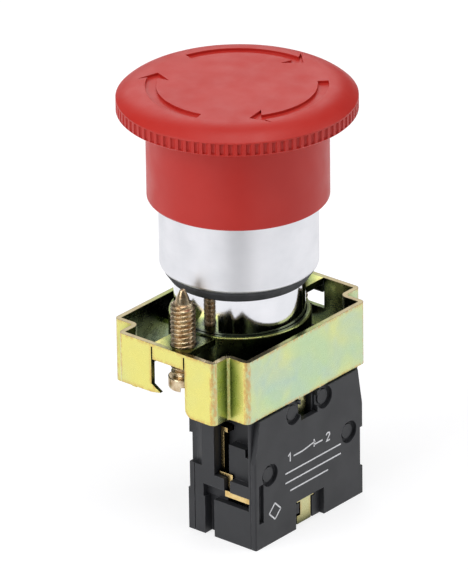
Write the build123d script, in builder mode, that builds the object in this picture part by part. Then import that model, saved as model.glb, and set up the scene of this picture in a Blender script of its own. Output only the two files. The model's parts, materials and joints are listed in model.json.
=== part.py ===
from build123d import *
import os
from math import cos, radians, sin

# Emergency stop pushbutton for a 22 mm panel hole, as an assembly of separate pieces.
# Millimetres. Z runs along the button's axis, up towards the mushroom head, and z = 0 is
# the panel's front face, where the gasket seals. X runs along the long side of the
# mounting collar and Y along its short side. "left" is the -X end, "right" the +X end.

os.makedirs("parts", exist_ok=True)

FIT = 0.05  # radial clearance of a running fit
PRESS_TRAVEL = 4.0  # how far the mushroom head is pushed in
BOOL = 0.5  # how far a cutting tool runs past the face it cuts

# Mushroom head
CAP_R = 20.0
RIM_BEVEL, RIM_ROUND = 0.15, 0.2
RIM_BOTTOM_Z, RIM_TOP_Z = 29.7, 32.2
FACE_R, FACE_Z = 15.5, 33.9
SKIRT_R, SKIRT_BORE_R, SKIRT_BOTTOM_Z, SKIRT_FILLET = 15.2, 13.9, 14.25, 0.35
CEILING_Z = 31.0
BOSS_R, BOSS_BOTTOM_Z, SOCKET_TOP_Z = 5.5, 24.5, 29.5
KNURL_COUNT, KNURL_R, KNURL_CENTRE_R = 88, 0.45, 20.1
KNURL_LOW_Z, KNURL_HIGH_Z = 29.95, 31.85
ARROW_COUNT, ARROW_FLOOR_Z = 3, 33.42
ARROW_IN_R, ARROW_OUT_R = 13.3, 15.1
ARROW_TIP_DEG, ARROW_BARB_DEG, ARROW_NECK_DEG, ARROW_TAIL_DEG = 108.0, 12.0, 9.0, 86.0
ARROW_TIP_R, ARROW_BARB_IN_R, ARROW_BARB_OUT_R = 14.0, 11.3, 16.6

# Bezel and barrel
BEZEL_R, BEZEL_TOP_Z, BEZEL_FILLET = 13.3, 19.5, 0.7
BARREL_R, BARREL_BORE_R, BARREL_BOTTOM_Z, BARREL_BEVEL = 11.0, 9.4, -11.0, 0.3
BEZEL_BORE_R, BEZEL_FLOOR_Z = 11.6, 8.0
GROOVE_R, GROOVE_LOW_Z, GROOVE_HIGH_Z = 10.5, -10.5, -9.5
GASKET_T, GASKET_TOP_R, GASKET_BOTTOM_R, GASKET_BORE_R = 1.93, 12.7, 11.75, 11.05
GASKET_BAND_T = 0.5

# Inside the barrel
SPINDLE_R, SPINDLE_FLANGE_R, SPINDLE_FLANGE_T, SPINDLE_BOTTOM_Z = 4.0, 6.0, 1.4, -8.3
CLIP_R, CLIP_BORE_R, CLIP_GAP_HALF, CLIP_RECESS_R = 5.2, 3.5, 1.6, 5.6
CLIP_SPAN = (SPINDLE_BOTTOM_Z + 0.1, SPINDLE_BOTTOM_Z + 0.5)
SLEEVE_R, SLEEVE_TOP_Z, SLEEVE_FLANGE_R, SLEEVE_FLANGE_T = 6.5, 21.5, 9.8, 1.6
PUSHER_R, PUSHER_LOW_Z, PUSHER_T = 8.8, -8.5, 1.3
BUSH_R, BUSH_FLANGE_R, BUSH_LOW_Z, BUSH_FLANGE_T = 9.35, 11.5, -6.9, 1.2
LATCH_WIRE_R, LATCH_Z, LATCH_GROOVE_R = 0.45, 2.0, 5.9
LATCH_LEG_X, LATCH_CLEAR, LATCH_SIDE_CLEAR, LATCH_END_CLEAR = -4.6, 0.6, 0.2, 0.4
FLANGE_LOW_Z = 16.4
SEAL_R, SEAL_T, SEAL_ROUND = 8.2, 1.2, 0.5
RETURN_COIL_R, RETURN_WIRE_R, RETURN_TURNS = 9.1, 0.35, 3.5
TWIST_COIL_R, TWIST_WIRE_R, TWIST_TURNS = 5.1, 0.25, 1.5

# Mounting collar, of sheet steel
COLLAR_X, COLLAR_Y = 19.3, 14.4
NOTCH_X, NOTCH_Y = 15.5, 10.3
CORNER_R, NOTCH_CORNER_R = 1.0, 0.5
SHEET = 0.9
COLLAR_TOP_Z, COLLAR_BOTTOM_Z = -6.93, -18.2
LIP_HALF_W, LIP_SHIFT, LIP_BOTTOM_Z = 3.3, 0.5, -9.7
SLIT, SLIT_TOP_Z = 0.3, -7.43
SLOT_BOTTOM_Z, WING_ROUND = -12.6, 1.5
SHORT_WING_BOTTOM_Z, WING_TRIM_X = -15.75, 15.7
EAR_OUT, EAR_TIP_H, EAR_ROOT_H, EAR_T = 1.9, 0.35, 1.5, 0.7
ARM_HALF_W, ARM_T = 3.5, 1.2
TUBE_R, TUBE_BORE_R, TUBE_TOP_Z, TUBE_BOTTOM_Z, TUBE_ROUND = 11.95, 11.15, -6.6, -11.6, 0.3

# Clamp screws, one near each end of the collar, half a turn apart
CLAMP_X, CLAMP_Y = -16.05, -1.2
CLAMP_R, CLAMP_TIP_Z, CLAMP_CONE_H = 2.1, 3.0, 2.4
CLAMP_CONE_ROOT_R, CLAMP_CONE_TOP_R = 1.35, 0.5
CLAMP_HEAD_R, CLAMP_HEAD_TOP_Z, CLAMP_HEAD_T, CLAMP_HEAD_ROUND = 2.6, -12.5, 2.3, 0.5
CLAMP_SLOT_HALF_W, CLAMP_SLOT_D = 0.45, 1.0
CLAMP_HEAD_CLEAR = 0.3  # the collar's end wall is thinned by this much round a screw's head

# Contact block
BLOCK_HALF, BLOCK_DEPTH, BLOCK_H = 14.17, 14.69, 29.12
BLOCK_Y0, BLOCK_Z0 = -14.75, -41.82
FRONT_T, REAR_T = 1.0, 1.45
BODY_ROUND, COVER_ROUND = 0.25, 0.3
NECK_H = 23.4  # above this the block is a smaller neck that sits inside the collar
NECK_HALF, NECK_FRONT = 12.6, 1.75
HEAD_RELIEF_R, HEAD_RELIEF_H = 2.75, 12.5

PLUNGER_R, PLUNGER_TOP_Z, PLUNGER_FOOT_R, PLUNGER_DEPTH = 2.0, -8.7, 3.0, 8.7
PLUNGER_FOOT_H, PLUNGER_ROUND = 3.1, 0.8
STRAP_HALF_W, STRAP_T, STRAP_FRONT = 1.35, 0.85, 1.02
STRAP_JOG = 0.8  # the strap's top steps back by this much, to pass inside the collar
STRAP_BEND_H = 18.6
STRAP_FOOT_U, STRAP_FOOT_H = -2.25, 1.5
TONGUE_HALF_W, TONGUE_DEPTH, TONGUE_LOW_H, TONGUE_HIGH_H = 2.2, 6.5, 4.0, 5.0
STRAP_SCREW_DEPTH, STRAP_SCREW_R, STRAP_SCREW_HEAD_R = 4.33, 1.45, 2.4
STRAP_SCREW_HEAD_LOW_H, STRAP_SCREW_HEAD_HIGH_H, STRAP_SCREW_TOP_H = 1.2, 3.2, 8.8
STRAP_ACCESS_R = 2.6
HOOK_HALF_W, HOOK_TOP_Z, HOOK_H = 3.6, -9.8, 0.85
TAB_IN, TAB_OUT, TAB_TOP_Z, TAB_REACH_Y = 1.75, 4.2, -10.7, 9.65

# Heights above the block's bottom, and depths behind its front face
PINS = [(4.0, 21.6), (10.4, 12.7)]
PIN_R, PIN_RECESS_R, PIN_RECESS_D, PIN_SINK = 1.3, 2.0, 0.7, 0.45
COVER_SIDE_H, COVER_SHOULDER_H = 15.8, 19.1
COVER_SHOULDER_IN, COVER_TOP_IN = 0.6, 1.3
FOOT_NOTCH_HALF_W, FOOT_NOTCH_H = 3.7, 5.0
TOP_SLOT_HALF_W, TOP_SLOT_LOW_H = 2.2, 19.6
GROOVE_U, GROOVE_DEPTH, GROOVE_HEIGHTS = (-13.3, -12.1), 0.7, (4.6, 11.7)
EDGE_NOTCH_W, EDGE_NOTCH_HEIGHTS = 0.8, (5.0, 12.4)
BAND_DEPTH, BAND_HEIGHTS = 0.5, (7.5, 17.5)
CHAMBER_HALF_U, CHAMBER_HALF_W, CHAMBER_HEIGHTS = 9.0, 2.6, (12.5, 21.0)
SPRING_BORE_R, SPRING_FLOOR_H = 2.9, 9.6
STRIP_LOW_H, STRIP_HIGH_H, STRIP_T0, STRIP_T1 = 8.1, 9.2, 1.45, 6.8
STRIP_IN_U, STRIP_OUT_U = 6.7, 13.92
LINK_IN_U, LINK_OUT_U, LINK_DEPTHS, LINK_TOP_H = 12.95, 13.35, (5.6, 6.7), 12.1
RISER_IN_U, RISER_OUT_U, RISER_DEPTHS, RISER_T = 11.3, 12.6, (8.0, 8.6), 0.6
ARM_H, ARM_THICK, ARM_IN_U, ARM_DEPTHS = 19.2, 0.8, 5.2, (7.2, 10.2)
BRIDGE_H, BRIDGE_T, BRIDGE_HALF_L, BRIDGE_HALF_W, BRIDGE_ROUND = 17.0, 0.7, 7.8, 1.6, 0.6
TIP_R, TIP_T, TIP_U, AIR = 1.1, 0.75, 6.5, 0.05
CONTACT_COIL_R, CONTACT_WIRE_R, CONTACT_TURNS = 2.2, 0.22, 5
SCREW_U, SCREW_DEPTH, SCREW_R, SCREW_HEAD_R = 9.8, 4.13, 1.6, 2.7
SCREW_HEAD_LOW_H, SCREW_HEAD_HIGH_H, SCREW_TOP_H = 2.6, 4.4, 9.3
SCREW_ROUND, SCREW_SLOT_HALF_W, SCREW_SLOT_D = 0.3, 0.4, 0.9
DRIVER_HOLE_R = 2.9
SADDLE_T, SADDLE_HALF_L, SADDLE_DEPTHS, SADDLE_ROUND = 1.0, 2.7, (1.5, 6.8), 0.5


def save(piece, name):
    """Label a finished piece and write its STEP file."""
    piece.part.label = name
    export_step(piece.part, f"parts/{name}.step")


def box(x_span, y_span, z_span, mode=Mode.ADD):
    """A box between two corners, in the piece being built."""
    spans = [sorted(span) for span in (x_span, y_span, z_span)]
    with Locations(tuple((low + high) / 2 for low, high in spans)):
        Box(*(high - low for low, high in spans), mode=mode)


def block_box(u_span, depth_span, height_span, mode=Mode.ADD):
    """A box in the contact block: across its length, depth behind its front, height above
    its bottom."""
    y_span = [BLOCK_Y0 + depth for depth in depth_span]
    z_span = [BLOCK_Z0 + height for height in height_span]
    box(u_span, y_span, z_span, mode)


def rod(x, y, r, z_span, mode=Mode.ADD):
    """An upright cylinder, in the piece being built."""
    low, high = sorted(z_span)
    with Locations((x, y, low)):
        Cylinder(r, high - low, align=(Align.CENTER, Align.CENTER, Align.MIN), mode=mode)


def block_rod(u, depth, r, height_span, mode=Mode.ADD):
    """An upright cylinder in the contact block."""
    heights = [BLOCK_Z0 + height for height in height_span]
    rod(u, BLOCK_Y0 + depth, r, heights, mode)


def ring(r_out, r_in, z_span, mode=Mode.ADD):
    """A plain ring round the Z axis, in the piece being built."""
    low, high = z_span
    with BuildSketch(Plane.XY.offset(low), mode=Mode.PRIVATE) as band:
        Circle(r_out)
        Circle(r_in, mode=Mode.SUBTRACT)
    extrude(band.sketch, amount=high - low, mode=mode)


def coil(x, y, mean_r, wire_r, z_span, turns):
    """An upright coil spring whose end turns lie inside the given height."""
    low, high = z_span
    height = high - low - 2 * wire_r
    path = Pos(x, y, low + wire_r) * Helix(height / turns, height, mean_r)
    with BuildPart() as spring:
        with BuildSketch(Plane(path @ 0, z_dir=path % 0)):
            Circle(wire_r)
        sweep(path=path, is_frenet=True)
    return spring


# ---------------------------------------------------------------- mushroom head


def arrow_face(tip_deg):
    """One curved turn arrow, clockwise from above, as points and arcs on the head's face."""

    def at(r, deg):
        angle = radians(tip_deg + deg)
        return (r * cos(angle), r * sin(angle))

    middle = (ARROW_NECK_DEG + ARROW_TAIL_DEG) / 2
    with BuildSketch(Plane.XY.offset(ARROW_FLOOR_Z), mode=Mode.PRIVATE) as arrow:
        with BuildLine():
            Polyline(
                at(ARROW_IN_R, ARROW_NECK_DEG),
                at(ARROW_BARB_IN_R, ARROW_BARB_DEG),
                at(ARROW_TIP_R, 0),
                at(ARROW_BARB_OUT_R, ARROW_BARB_DEG),
                at(ARROW_OUT_R, ARROW_NECK_DEG),
            )
            ThreePointArc(
                at(ARROW_OUT_R, ARROW_NECK_DEG),
                at(ARROW_OUT_R, middle),
                at(ARROW_OUT_R, ARROW_TAIL_DEG),
            )
            Line(at(ARROW_OUT_R, ARROW_TAIL_DEG), at(ARROW_IN_R, ARROW_TAIL_DEG))
            ThreePointArc(
                at(ARROW_IN_R, ARROW_TAIL_DEG),
                at(ARROW_IN_R, middle),
                at(ARROW_IN_R, ARROW_NECK_DEG),
            )
        make_face()
    return arrow.sketch


def make_mushroom_cap():
    """The red head: domed face, knurled rim, skirt and the boss that grips the spindle."""
    with BuildPart() as cap:
        with BuildSketch(Plane.YZ):
            with BuildLine():
                Line((0, FACE_Z), (FACE_R, FACE_Z))
                lip = (CAP_R - RIM_BEVEL, RIM_TOP_Z)
                TangentArc((FACE_R, FACE_Z), lip, tangent=(1, 0))
                Polyline(
                    lip,
                    (CAP_R, RIM_TOP_Z - RIM_BEVEL),
                    (CAP_R, RIM_BOTTOM_Z + RIM_ROUND),
                    (CAP_R - RIM_ROUND, RIM_BOTTOM_Z),
                    (SKIRT_R, RIM_BOTTOM_Z),
                    (SKIRT_R, SKIRT_BOTTOM_Z),
                    (SKIRT_BORE_R, SKIRT_BOTTOM_Z),
                    (SKIRT_BORE_R, CEILING_Z),
                    (BOSS_R, CEILING_Z),
                    (BOSS_R, BOSS_BOTTOM_Z),
                    (SPINDLE_R, BOSS_BOTTOM_Z),
                    (SPINDLE_R, SOCKET_TOP_Z),
                    (0, SOCKET_TOP_Z),
                    (0, FACE_Z),
                )
            make_face()
        revolve()
        fillet(cap.edges().filter_by(GeomType.CIRCLE).group_by(Axis.Z)[0], SKIRT_FILLET)
        with BuildSketch(Plane.XY.offset(KNURL_LOW_Z)):
            with PolarLocations(KNURL_CENTRE_R, KNURL_COUNT):
                Circle(KNURL_R)
        extrude(amount=KNURL_HIGH_Z - KNURL_LOW_Z, mode=Mode.SUBTRACT)
        for number in range(ARROW_COUNT):
            arrow = arrow_face(ARROW_TIP_DEG - number * 360 / ARROW_COUNT)
            extrude(arrow, amount=FACE_Z - ARROW_FLOOR_Z + BOOL, mode=Mode.SUBTRACT)
    save(cap, "mushroom_cap")


def make_release_spindle():
    """The shaft that turns with the head, with a flange under the boss and a clip groove."""
    with BuildPart() as spindle:
        rod(0, 0, SPINDLE_R, (SPINDLE_BOTTOM_Z, SOCKET_TOP_Z))
        rod(0, 0, SPINDLE_FLANGE_R, (BOSS_BOTTOM_Z - SPINDLE_FLANGE_T, BOSS_BOTTOM_Z))
        ring(SPINDLE_R + BOOL, CLIP_BORE_R, CLIP_SPAN, Mode.SUBTRACT)
    save(spindle, "release_spindle")


def make_spindle_circlip():
    """The open clip that keeps the spindle in the sleeve."""
    with BuildPart() as clip:
        ring(CLIP_R, CLIP_BORE_R, CLIP_SPAN)
        gap = (-CLIP_GAP_HALF, CLIP_GAP_HALF)
        box((0, CLIP_R + BOOL), gap, CLIP_SPAN, Mode.SUBTRACT)
    save(clip, "spindle_circlip")


def make_press_sleeve():
    """The sliding sleeve, with the spring's flange and the groove that the latch drops in."""
    bore = SPINDLE_R + FIT
    groove_z = LATCH_Z + PRESS_TRAVEL
    with BuildPart() as sleeve:
        ring(SLEEVE_R, bore, (PUSHER_LOW_Z + PUSHER_T, SLEEVE_TOP_Z))
        ring(SLEEVE_FLANGE_R, bore, (FLANGE_LOW_Z, FLANGE_LOW_Z + SLEEVE_FLANGE_T))
        groove = (groove_z - LATCH_CLEAR, groove_z + LATCH_CLEAR)
        ring(SLEEVE_R + BOOL, LATCH_GROOVE_R, groove, Mode.SUBTRACT)
    save(sleeve, "press_sleeve")


def make_pusher_plate():
    """The disc under the sleeve that presses the contact plunger, recessed for the clip."""
    low, high = PUSHER_LOW_Z, PUSHER_LOW_Z + PUSHER_T
    with BuildPart() as plate:
        ring(PUSHER_R, SPINDLE_R + FIT, (low, high))
        rod(0, 0, CLIP_RECESS_R, (low, CLIP_SPAN[1] + FIT), Mode.SUBTRACT)
    save(plate, "pusher_plate")


def make_head_springs():
    """The return spring round the sleeve, and the small spring that turns the head back."""
    return_span = (BEZEL_FLOOR_Z + BUSH_FLANGE_T, FLANGE_LOW_Z)
    return_spring = coil(0, 0, RETURN_COIL_R, RETURN_WIRE_R, return_span, RETURN_TURNS)
    save(return_spring, "return_spring")
    twist_span = (SLEEVE_TOP_Z + FIT, BOSS_BOTTOM_Z - SPINDLE_FLANGE_T)
    twist_spring = coil(0, 0, TWIST_COIL_R, TWIST_WIRE_R, twist_span, TWIST_TURNS)
    save(twist_spring, "twist_spring")


# ---------------------------------------------------------------- bezel and barrel


def make_head_housing():
    """The chromed bezel and 22 mm barrel, one casting."""
    with BuildPart() as housing:
        with BuildSketch(Plane.XZ):
            with BuildLine():
                Polyline(
                    (BARREL_BORE_R, BARREL_BOTTOM_Z),
                    (BARREL_R - BARREL_BEVEL, BARREL_BOTTOM_Z),
                    (BARREL_R, BARREL_BOTTOM_Z + BARREL_BEVEL),
                    (BARREL_R, GROOVE_LOW_Z),
                    (GROOVE_R, GROOVE_LOW_Z),
                    (GROOVE_R, GROOVE_HIGH_Z),
                    (BARREL_R, GROOVE_HIGH_Z),
                    (BARREL_R, GASKET_T),
                    (BEZEL_R, GASKET_T),
                    (BEZEL_R, BEZEL_TOP_Z),
                    (BEZEL_BORE_R, BEZEL_TOP_Z),
                    (BEZEL_BORE_R, BEZEL_FLOOR_Z),
                    (BARREL_BORE_R, BEZEL_FLOOR_Z),
                    close=True,
                )
            make_face()
        revolve()
        rims = housing.edges().filter_by(GeomType.CIRCLE)
        outer = rims.filter_by(lambda edge: abs(edge.radius - BEZEL_R) < 1e-3)
        fillet(outer.sort_by(Axis.Z)[0], BEZEL_FILLET)
    save(housing, "head_housing")


def make_panel_gasket():
    """The tapered rubber ring between the bezel and the panel."""
    with BuildPart() as gasket:
        with BuildSketch(Plane.XZ):
            with BuildLine():
                Polyline(
                    (GASKET_BORE_R, 0),
                    (GASKET_BOTTOM_R, 0),
                    (GASKET_TOP_R, GASKET_T - GASKET_BAND_T),
                    (GASKET_TOP_R, GASKET_T),
                    (GASKET_BORE_R, GASKET_T),
                    close=True,
                )
            make_face()
        revolve()
    save(gasket, "panel_gasket")


def make_guide_bush():
    """The plastic bush that guides the sleeve, with the slots that hold the latch wire."""
    slot_out = SLEEVE_R + 2 * LATCH_WIRE_R + LATCH_SIDE_CLEAR
    slot_span = (LATCH_Z - LATCH_CLEAR, LATCH_Z + LATCH_CLEAR)
    with BuildPart() as bush:
        ring(BUSH_R, SLEEVE_R + FIT, (BUSH_LOW_Z, BEZEL_FLOOR_Z))
        top = BEZEL_FLOOR_Z + BUSH_FLANGE_T
        ring(BUSH_FLANGE_R, SLEEVE_R + FIT, (BEZEL_FLOOR_Z, top))
        rod(0, 0, slot_out, slot_span, Mode.SUBTRACT)
        slot_x = (LATCH_LEG_X - LATCH_END_CLEAR, 0)
        box(slot_x, (-slot_out, slot_out), slot_span, Mode.SUBTRACT)
    save(bush, "guide_bush")


def make_latch_spring():
    """The hairpin wire that snaps into the sleeve's groove when the head is pushed in."""
    r = SLEEVE_R + LATCH_WIRE_R + FIT
    with BuildPart() as latch:
        with BuildLine(Plane.XY.offset(LATCH_Z)) as wire:
            Line((LATCH_LEG_X, -r), (0, -r))
            ThreePointArc((0, -r), (r, 0), (0, r))
            Line((0, r), (LATCH_LEG_X, r))
        with BuildSketch(Plane(wire.wire() @ 0, z_dir=wire.wire() % 0)):
            Circle(LATCH_WIRE_R)
        sweep()
    save(latch, "latch_spring")


def make_shaft_seal():
    """The rubber ring that keeps dirt out round the sleeve."""
    low = BEZEL_FLOOR_Z + BUSH_FLANGE_T
    with BuildPart() as seal:
        ring(SEAL_R, SLEEVE_R + FIT, (low, low + SEAL_T))
        fillet(seal.edges().group_by(Axis.Z)[-1], SEAL_ROUND)
    save(seal, "shaft_seal")


# ---------------------------------------------------------------- mounting collar


def collar_outline(inset):
    """The collar's plan: a rectangle with square re-entrant corners, rounded, set in."""
    x, y = COLLAR_X - inset, COLLAR_Y - inset
    nx, ny = NOTCH_X - inset, NOTCH_Y - inset
    quarter = [(x, ny), (nx, ny), (nx, y)]
    left = [(-px, py) for px, py in reversed(quarter)]
    lower = [(-px, -py) for px, py in quarter + left]
    with BuildSketch(mode=Mode.PRIVATE) as outline:
        with BuildLine():
            Polyline(*quarter, *left, *lower, close=True)
        make_face()
        corners = outline.vertices()
        inner = [v for v in corners if abs(abs(v.X) - nx) + abs(abs(v.Y) - ny) < 1e-3]
        outer = [v for v in corners if v not in inner]
        fillet(outer, CORNER_R - inset)
        inner_points = [Vector(v.X, v.Y) for v in inner]
        sharp = [v for v in outline.vertices() if Vector(v.X, v.Y) in inner_points]
        fillet(sharp, NOTCH_CORNER_R + inset)
    return outline.sketch


def clamp_places():
    """The two clamp screws' axes, half a turn apart."""
    return [(CLAMP_X, CLAMP_Y), (-CLAMP_X, -CLAMP_Y)]


def cut_seam():
    """Open the skirt at its left end, where the bent strip's two ends stand apart."""
    low = -LIP_SHIFT - LIP_HALF_W - SLIT
    high = -LIP_SHIFT + LIP_HALF_W + SLIT
    wall = (-COLLAR_X - BOOL, SHEET + BOOL - COLLAR_X)
    box(wall, (low, high), (COLLAR_BOTTOM_Z - BOOL, SLOT_BOTTOM_Z), Mode.SUBTRACT)
    trim_z = (COLLAR_BOTTOM_Z - BOOL, SHORT_WING_BOTTOM_Z)
    trim_x = (-COLLAR_X - BOOL, -WING_TRIM_X)
    box(trim_x, (high, NOTCH_Y + BOOL), trim_z, Mode.SUBTRACT)
    with BuildSketch(Plane.YZ.offset(-COLLAR_X), mode=Mode.PRIVATE) as ear:
        with BuildLine():
            Polyline(
                (high, SHORT_WING_BOTTOM_Z),
                (high - EAR_OUT, SHORT_WING_BOTTOM_Z + EAR_TIP_H),
                (high, SHORT_WING_BOTTOM_Z + EAR_ROOT_H),
                close=True,
            )
        make_face()
    extrude(ear.sketch, amount=EAR_T)


def make_mounting_collar():
    """The stamped collar: drawn ring on two arms, end lips, and the notched skirt."""
    x_in = COLLAR_X - SHEET
    height = COLLAR_TOP_Z - COLLAR_BOTTOM_Z
    half = LIP_HALF_W + SLIT
    with BuildPart() as collar:
        with BuildSketch(Plane.XY.offset(COLLAR_BOTTOM_Z)):
            add(collar_outline(0))
            add(collar_outline(SHEET), mode=Mode.SUBTRACT)
        extrude(amount=height)
        for side in (-1, 1):
            wall = (side * (x_in - BOOL), side * (COLLAR_X + BOOL))
            middle = side * LIP_SHIFT
            slot = (middle - half, middle + half)
            box(wall, slot, (SLOT_BOTTOM_Z, LIP_BOTTOM_Z), Mode.SUBTRACT)
            for hand in (-1, 1):
                slit_y = (middle + hand * LIP_HALF_W, middle + hand * half)
                box(wall, slit_y, (LIP_BOTTOM_Z - BOOL, SLIT_TOP_Z), Mode.SUBTRACT)
        cut_seam()
        corner = Vector(-COLLAR_X + SHEET / 2, -LIP_SHIFT - half, COLLAR_BOTTOM_Z)
        across = collar.edges().filter_by(Axis.X)
        fillet(across.sort_by_distance(corner)[0], WING_ROUND)
        for side in (-1, 1):
            middle = side * LIP_SHIFT
            arm_x = (side * TUBE_BORE_R, side * x_in)
            arm_y = (middle - ARM_HALF_W, middle + ARM_HALF_W)
            box(arm_x, arm_y, (COLLAR_TOP_Z - ARM_T, COLLAR_TOP_Z))
            for hand in (-1, 1):
                tab_x = (hand * TAB_IN, hand * TAB_OUT)
                tab_y = (side * (COLLAR_Y - SHEET), side * TAB_REACH_Y)
                box(tab_x, tab_y, (TAB_TOP_Z - SHEET, TAB_TOP_Z))
        rod(0, 0, TUBE_R, (TUBE_BOTTOM_Z, TUBE_TOP_Z))
        lip = collar.edges().filter_by(GeomType.CIRCLE).group_by(Axis.Z)[-1]
        fillet(lip, TUBE_ROUND)
        rod(0, 0, TUBE_BORE_R, (TUBE_BOTTOM_Z - BOOL, TUBE_TOP_Z + BOOL), Mode.SUBTRACT)
        for x, y in clamp_places():
            hole_z = (LIP_BOTTOM_Z - BOOL, COLLAR_TOP_Z + BOOL)
            rod(x, y, CLAMP_R + FIT, hole_z, Mode.SUBTRACT)
            relief_z = (COLLAR_BOTTOM_Z - BOOL, LIP_BOTTOM_Z)
            rod(x, y, CLAMP_HEAD_R + CLAMP_HEAD_CLEAR, relief_z, Mode.SUBTRACT)
    save(collar, "mounting_collar")


def make_clamp_screws():
    """The two pointed screws that jack against the back of the panel."""
    for (x, y), side in zip(clamp_places(), ("left", "right")):
        cone_low = CLAMP_TIP_Z - CLAMP_CONE_H
        head_low = CLAMP_HEAD_TOP_Z - CLAMP_HEAD_T
        with BuildPart() as screw:
            rod(x, y, CLAMP_R, (CLAMP_HEAD_TOP_Z - BOOL, cone_low))
            with Locations((x, y, cone_low)):
                Cone(
                    CLAMP_CONE_ROOT_R,
                    CLAMP_CONE_TOP_R,
                    CLAMP_CONE_H,
                    align=(Align.CENTER, Align.CENTER, Align.MIN),
                )
            rod(x, y, CLAMP_HEAD_R, (head_low, CLAMP_HEAD_TOP_Z))
            fillet(screw.edges().group_by(Axis.Z)[0], CLAMP_HEAD_ROUND)
            slot_x = (x - CLAMP_SLOT_HALF_W, x + CLAMP_SLOT_HALF_W)
            slot_y = (y - CLAMP_HEAD_R, y + CLAMP_HEAD_R)
            box(slot_x, slot_y, (head_low, head_low + CLAMP_SLOT_D), Mode.SUBTRACT)
        save(screw, f"clamp_screw_{side}")


# ---------------------------------------------------------------- contact block


def make_block_body():
    """The block's moulded body, with its contact, plunger, strap and terminal chambers."""
    above = BLOCK_H + BOOL
    chamber_u = (-CHAMBER_HALF_U, CHAMBER_HALF_U)
    chamber = (PLUNGER_DEPTH - CHAMBER_HALF_W, PLUNGER_DEPTH + CHAMBER_HALF_W)
    with BuildPart() as body:
        block_box((-BLOCK_HALF, BLOCK_HALF), (FRONT_T, BLOCK_DEPTH - REAR_T), (0, BLOCK_H))
        fillet(body.edges().filter_by(Axis.Z), BODY_ROUND)
        cut_neck()
        # contact chamber, spring bore and plunger hole
        chamber_low, chamber_high = CHAMBER_HEIGHTS
        block_box(chamber_u, chamber, CHAMBER_HEIGHTS, Mode.SUBTRACT)
        spring_heights = (SPRING_FLOOR_H, chamber_low + BOOL)
        block_rod(0, PLUNGER_DEPTH, SPRING_BORE_R, spring_heights, Mode.SUBTRACT)
        hole_heights = (chamber_high - BOOL, above)
        block_rod(0, PLUNGER_DEPTH, PLUNGER_R + FIT, hole_heights, Mode.SUBTRACT)
        # strap channel, tongue slot and strap screw
        block_box((-1.7, 1.7), (0, 3.0), (-BOOL, above), Mode.SUBTRACT)
        block_box((-2.5, -1.6), (0, 2.15), (-BOOL, 2.0), Mode.SUBTRACT)
        block_box((-2.4, 2.4), (FRONT_T, 6.7), (3.8, 5.2), Mode.SUBTRACT)
        access = (-BOOL, TONGUE_LOW_H)
        block_rod(0, STRAP_SCREW_DEPTH, STRAP_ACCESS_R, access, Mode.SUBTRACT)
        thread = (0, STRAP_SCREW_TOP_H + SLIT)
        block_rod(0, STRAP_SCREW_DEPTH, STRAP_SCREW_R + 2 * FIT, thread, Mode.SUBTRACT)
        for side in (-1, 1):
            cut_terminal_chambers(side)
    save(body, "block_body")


def cut_neck():
    """Cut the piece being built down to the neck inside the collar, clear of the screws."""
    above = (NECK_H, BLOCK_H + BOOL)
    wide = (-BLOCK_HALF - BOOL, BLOCK_HALF + BOOL)
    block_box(wide, (-BOOL, NECK_FRONT), above, Mode.SUBTRACT)
    for side in (-1, 1):
        beside = (side * NECK_HALF, side * (BLOCK_HALF + BOOL))
        block_box(beside, (-BOOL, BLOCK_DEPTH + BOOL), above, Mode.SUBTRACT)
    for x, y in clamp_places():
        relief = (BLOCK_Z0 + HEAD_RELIEF_H, BLOCK_Z0 + BLOCK_H + BOOL)
        rod(x, y, HEAD_RELIEF_R, relief, Mode.SUBTRACT)


def cut_terminal_chambers(side):
    """Cut the hollows at one end of the block body, where a wire is clamped."""

    def cut(u_in, u_out, depths, heights):
        block_box((side * u_in, side * u_out), depths, heights, Mode.SUBTRACT)

    face = BLOCK_HALF + BOOL
    cut(6.8, 13.0, (1.3, 7.0), (0.9, STRIP_LOW_H))
    cut(6.6, face, (STRIP_T0 - 0.05, STRIP_T1 + 0.05), (STRIP_LOW_H - 0.05, STRIP_HIGH_H))
    cut(12.9, face, (1.5, 11.3), (6.9, STRIP_HIGH_H))
    cut(12.4, face, (9.0, 11.0), (0, 7.0))
    block_rod(side * SCREW_U, SCREW_DEPTH, DRIVER_HOLE_R, (-BOOL, 1), Mode.SUBTRACT)
    block_rod(side * SCREW_U, SCREW_DEPTH, SCREW_R + 0.3, (8.0, 12.0), Mode.SUBTRACT)
    # upper opening, with the stepped block left standing in it
    cut(11.1, face, (1.5, 8.9), (17.3, 28.0))
    cut(11.1, face, (6.7, 8.9), (11.4, 17.4))
    cut(11.1, face, (1.5, 3.2), (15.9, 17.4))
    cut(12.9, face, (1.5, 8.9), (11.4, 17.4))
    # slit in the web, and the way in for the contact arm
    cut(12.9, face, (5.5, 6.8), (9.0, 11.5))
    cut(8.5, 11.3, (7.0, 10.4), (ARM_H - 0.1, 20.2))


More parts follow.
